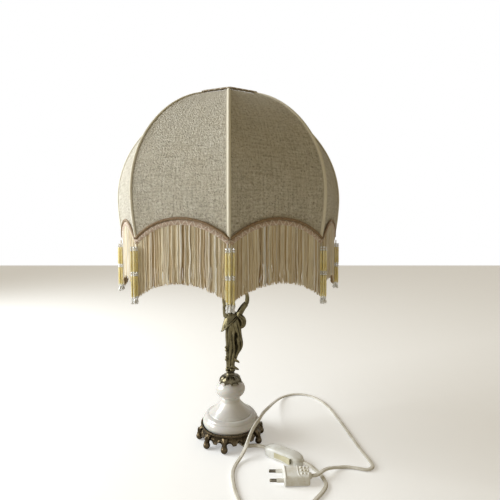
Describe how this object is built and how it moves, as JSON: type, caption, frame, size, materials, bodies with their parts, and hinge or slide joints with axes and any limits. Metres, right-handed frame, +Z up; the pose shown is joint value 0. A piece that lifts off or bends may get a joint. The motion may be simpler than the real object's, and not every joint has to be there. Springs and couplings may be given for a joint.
{
  "type": "figural table lamp",
  "caption": "Table lamp with a draped brass figure on a turned white marble body, a footed casting, and a domed cloth shade with braid, silky fringe and bead tassels.",
  "frame": {"origin": "on the surface under the lamp's axis", "axes": "+Z up along the lamp's axis, the front faces -Y"},
  "size_m": [0.3759, 0.3542, 0.5255],
  "materials": {
    "casting_brass": "dark reddish antique brass, worn bright on the high spots",
    "figure_brass": "antique brass, olive gold, satin",
    "gasket_felt": "felt",
    "hardware_steel": "zinc plated",
    "white_plastic": "moulded",
    "white_marble": "polished white marble",
    "lead_plastic": "sheathed lead",
    "holder_brass": "satin brass",
    "holder_porcelain": "porcelain",
    "bulb_metal": "rolled thread",
    "bulb_glass": "opal glass",
    "frame_wire": "cream enamelled wire",
    "trim_braid": "woven gimp braid in beige and tan",
    "rib_tape": "woven tape",
    "silk_fringe": "silky strands",
    "shade_linen": "slubbed linen",
    "glass_beads": "amber bugles and clear crystals",
    "flex_plastic": "white flat twin flex",
    "switch_plastic": "white moulded",
    "rocker_plastic": "cream moulded",
    "pin_brass": "nickel on brass, tarnished at the tips"
  },
  "bodies": {
    "lamp": {"base_casting": "casting_brass", "base_gasket": "gasket_felt", "rod_washer": "hardware_steel", "rod_nut": "hardware_steel", "centre_rod": "hardware_steel", "cord_grip": "white_plastic", "grip_screws": "hardware_steel", "marble_body": "white_marble", "crown_collar": "figure_brass", "figure_socle": "figure_brass", "figure": "figure_brass", "torch_cup": "figure_brass", "cup_nipple": "hardware_steel", "inner_lead": "lead_plastic", "holder_cap": "holder_brass", "holder_shell": "holder_brass", "holder_insert": "holder_porcelain", "holder_sleeve": "holder_brass", "centre_contact": "holder_brass", "flex_lamp": "flex_plastic", "flex_plug": "flex_plastic", "switch_base": "switch_plastic", "switch_cover": "switch_plastic", "switch_contacts": "holder_brass", "switch_screws": "hardware_steel", "plug_body": "switch_plastic", "plug_pins": "pin_brass", "plug_sleeves": "switch_plastic"},
    "rocker": {"switch_rocker": "rocker_plastic"},
    "shade": {"shade_fitter": "frame_wire", "top_ring": "frame_wire", "shade_ribs": "frame_wire", "scallop_wire": "frame_wire", "shade_panel_1": "shade_linen", "shade_panel_2": "shade_linen", "shade_panel_3": "shade_linen", "shade_panel_4": "shade_linen", "shade_panel_5": "shade_linen", "shade_panel_6": "shade_linen", "shade_panel_7": "shade_linen", "shade_panel_8": "shade_linen", "top_braid": "trim_braid", "rib_tapes": "rib_tape", "scallop_braid": "trim_braid", "fringe": "silk_fringe", "bead_tassel_1": "glass_beads", "bead_tassel_2": "glass_beads", "bead_tassel_3": "glass_beads", "bead_tassel_4": "glass_beads", "bead_tassel_5": "glass_beads", "bead_tassel_6": "glass_beads", "bead_tassel_7": "glass_beads", "bead_tassel_8": "glass_beads"},
    "nut": {"shade_nut": "holder_brass"},
    "bulb": {"bulb_cap": "bulb_metal", "bulb_glass": "bulb_glass"}
  },
  "joints": [
    {"name": "rocker_tilt", "type": "hinge", "parent": "lamp", "child": "rocker", "pos_m": [0.07911, -0.06882, 0.0075], "axis": [0, 0, 1], "range_deg": [0, 12]},
    {"name": "shade_swivel", "type": "hinge", "parent": "lamp", "child": "shade", "pos_m": [0, 0, 0.2726], "axis": [0, 0, 1], "continuous": true},
    {"name": "nut_turn", "type": "hinge", "parent": "lamp", "child": "nut", "pos_m": [0, 0, 0.2789], "axis": [0, 0, 1], "continuous": true},
    {"name": "bulb_turn", "type": "hinge", "parent": "lamp", "child": "bulb", "pos_m": [0, 0, 0.29], "axis": [0, 0, 1], "continuous": true}
  ]
}
